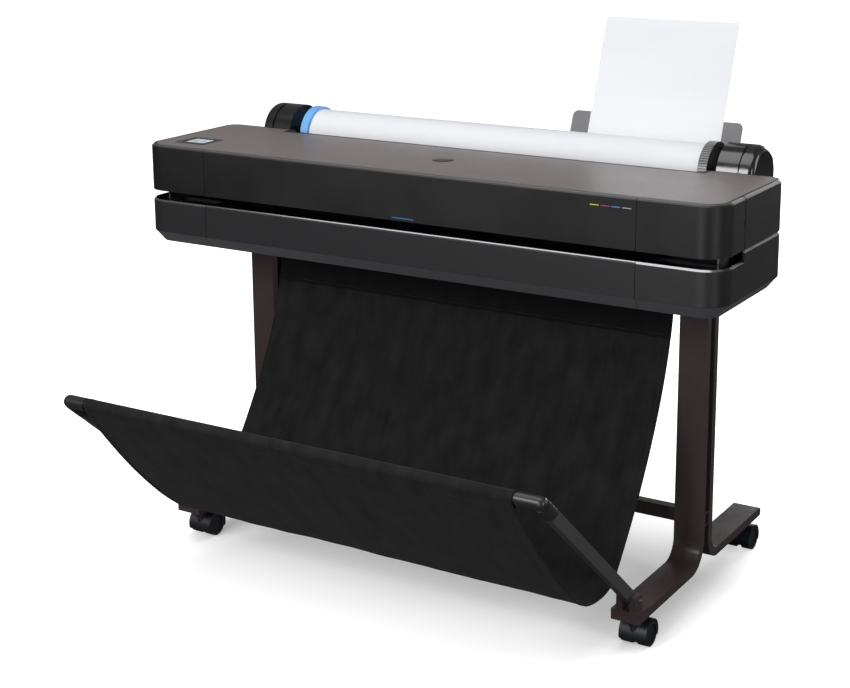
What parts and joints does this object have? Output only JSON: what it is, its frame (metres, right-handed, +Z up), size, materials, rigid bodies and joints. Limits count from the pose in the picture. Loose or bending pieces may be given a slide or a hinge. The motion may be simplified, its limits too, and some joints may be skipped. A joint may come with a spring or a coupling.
{
  "type": "large format plotter",
  "caption": "Wide-format inkjet plotter on a wheeled two-leg stand, with a paper roll and cut-sheet tray behind and a fabric catch bin in front.",
  "frame": {"origin": "on the floor, at the middle of the machine's overall width and depth", "axes": "+X to the machine's right as seen from the front, +Y to the back, +Z up"},
  "size_m": [1.317, 0.9704, 1.1147],
  "materials": {
    "taupe_top": "satin painted cover",
    "black_shell": "fine satin black moulding",
    "gloss_black": "polished black moulding",
    "screen": "lit glass screen",
    "leg_paint": "powder-coated dark brown",
    "steel": "zinc plated",
    "bright_rod": "ground and plated",
    "dark_plastic": "dark grey moulding",
    "caster_plastic": "blue-black nylon",
    "black_fabric": "woven polyester",
    "paper": "uncoated white paper",
    "blue_plastic": "sky blue moulding",
    "tray_grey": "mid-grey moulding",
    "roller_rubber": "ground rubber",
    "board": "solder-masked board",
    "ink": "moulded cartridges"
  },
  "bodies": {
    "root": {"top_cover": "taupe_top", "upper_left_cover": "black_shell", "upper_right_cover": "black_shell", "upper_rear_cover": "black_shell", "lower_left_cover": "black_shell", "lower_front_panel": "black_shell", "lower_right_cover": "black_shell", "rear_housing": "black_shell", "base_pan": "steel", "exit_platen": "gloss_black", "hinge_pins": "steel", "touchscreen_bezel": "gloss_black", "touchscreen": "screen", "roll_support_left": "gloss_black", "roll_support_right": "gloss_black", "sheet_tray": "tray_grey", "paper_sheet": "paper", "side_plates": "steel", "carriage_rod": "bright_rod", "carriage_belt": "roller_rubber", "ink_cartridges": "ink", "service_station": "dark_plastic", "main_board": "board", "power_inlet": "gloss_black", "left_leg_front_bar": "leg_paint", "left_leg_rear_bar": "leg_paint", "right_leg_front_bar": "leg_paint", "right_leg_rear_bar": "leg_paint", "crossbar": "leg_paint", "foot_brackets": "leg_paint", "rear_foot_caps": "dark_plastic", "leg_top_plates": "leg_paint", "stand_bolts": "steel", "fabric_back": "black_fabric", "fabric_rail": "steel"},
    "window": {"window": "black_shell"},
    "ink_door": {"ink_door": "black_shell"},
    "roll_carrier": {"spindle_journals": "dark_plastic"},
    "roll": {"spindle": "dark_plastic", "blue_stop": "blue_plastic", "ribbed_hub": "gloss_black", "paper_roll": "paper"},
    "carriage": {"carriage": "dark_plastic", "print_heads": "dark_plastic"},
    "drive_pulley": {"drive_pulley": "steel"},
    "idler_pulley": {"idler_pulley": "steel"},
    "feed_roller": {"feed_roller": "roller_rubber"},
    "pinch_rollers": {"pinch_rollers": "roller_rubber"},
    "bin_frame": {"bin_arms": "dark_plastic", "bin_rod": "dark_plastic", "bin_elbows": "dark_plastic", "fabric_front": "black_fabric"},
    "caster_swivel_front_left": {"caster_fork_front_left": "caster_plastic"},
    "caster_wheels_front_left": {"caster_wheels_front_left": "caster_plastic"},
    "caster_swivel_front_right": {"caster_fork_front_right": "caster_plastic"},
    "caster_wheels_front_right": {"caster_wheels_front_right": "caster_plastic"},
    "caster_swivel_rear_left": {"caster_fork_rear_left": "caster_plastic"},
    "caster_wheels_rear_left": {"caster_wheels_rear_left": "caster_plastic"},
    "caster_swivel_rear_right": {"caster_fork_rear_right": "caster_plastic"},
    "caster_wheels_rear_right": {"caster_wheels_rear_right": "caster_plastic"}
  },
  "joints": [
    {"name": "window_tilt", "type": "hinge", "parent": "root", "child": "window", "pos_m": [0, -0.06113, 0.853], "axis": [-1, 0, 0], "range_deg": [0, 80]},
    {"name": "ink_door_swing", "type": "hinge", "parent": "root", "child": "ink_door", "pos_m": [0.6545, 0.03387, 0.806], "axis": [0, 0, 1], "range_deg": [0, 90]},
    {"name": "roll_lift", "type": "slide", "parent": "root", "child": "roll_carrier", "axis": [0, 0, 1], "range_m": [0, 0.13]},
    {"name": "roll_spin", "type": "hinge", "parent": "roll_carrier", "child": "roll", "pos_m": [0, 0.31957, 0.8363], "axis": [1, 0, 0], "continuous": true},
    {"name": "carriage_slide", "type": "slide", "parent": "root", "child": "carriage", "axis": [1, 0, 0], "range_m": [-1.113, 0]},
    {"name": "drive_pulley_spin", "type": "hinge", "parent": "root", "child": "drive_pulley", "pos_m": [-0.6175, 0.14587, 0.812], "axis": [0, 0, 1], "continuous": true},
    {"name": "idler_pulley_spin", "type": "hinge", "parent": "root", "child": "idler_pulley", "pos_m": [0.6175, 0.14587, 0.812], "axis": [0, 0, 1], "continuous": true},
    {"name": "feed_roller_spin", "type": "hinge", "parent": "root", "child": "feed_roller", "pos_m": [0, 0.03087, 0.721], "axis": [1, 0, 0], "continuous": true},
    {"name": "pinch_rollers_spin", "type": "hinge", "parent": "root", "child": "pinch_rollers", "pos_m": [0, 0.03087, 0.7424], "axis": [1, 0, 0], "continuous": true},
    {"name": "bin_swing", "type": "hinge", "parent": "root", "child": "bin_frame", "pos_m": [0, -0.11013, 0.106], "axis": [-1, 0, 0], "range_deg": [0, 50]},
    {"name": "caster_turn_front_left", "type": "hinge", "parent": "root", "child": "caster_swivel_front_left", "pos_m": [-0.5176, -0.08913, 0.06], "axis": [0, 0, 1], "continuous": true},
    {"name": "wheel_roll_front_left", "type": "hinge", "parent": "caster_swivel_front_left", "child": "caster_wheels_front_left", "pos_m": [-0.5176, -0.07113, 0.025], "axis": [1, 0, 0], "continuous": true},
    {"name": "caster_turn_front_right", "type": "hinge", "parent": "root", "child": "caster_swivel_front_right", "pos_m": [0.5176, -0.08913, 0.06], "axis": [0, 0, 1], "continuous": true},
    {"name": "wheel_roll_front_right", "type": "hinge", "parent": "caster_swivel_front_right", "child": "caster_wheels_front_right", "pos_m": [0.5176, -0.07113, 0.025], "axis": [1, 0, 0], "continuous": true},
    {"name": "caster_turn_rear_left", "type": "hinge", "parent": "root", "child": "caster_swivel_rear_left", "pos_m": [-0.5176, 0.43687, 0.06], "axis": [0, 0, 1], "continuous": true},
    {"name": "wheel_roll_rear_left", "type": "hinge", "parent": "caster_swivel_rear_left", "child": "caster_wheels_rear_left", "pos_m": [-0.5176, 0.45487, 0.025], "axis": [1, 0, 0], "continuous": true},
    {"name": "caster_turn_rear_right", "type": "hinge", "parent": "root", "child": "caster_swivel_rear_right", "pos_m": [0.5176, 0.43687, 0.06], "axis": [0, 0, 1], "continuous": true},
    {"name": "wheel_roll_rear_right", "type": "hinge", "parent": "caster_swivel_rear_right", "child": "caster_wheels_rear_right", "pos_m": [0.5176, 0.45487, 0.025], "axis": [1, 0, 0], "continuous": true}
  ],
  "couplings": [
    {"joint": "drive_pulley_spin", "follows": "carriage_slide", "rad_per_m": 111.11},
    {"joint": "idler_pulley_spin", "follows": "carriage_slide", "rad_per_m": 111.11},
    {"joint": "pinch_rollers_spin", "follows": "feed_roller_spin", "ratio": -2.5}
  ]
}
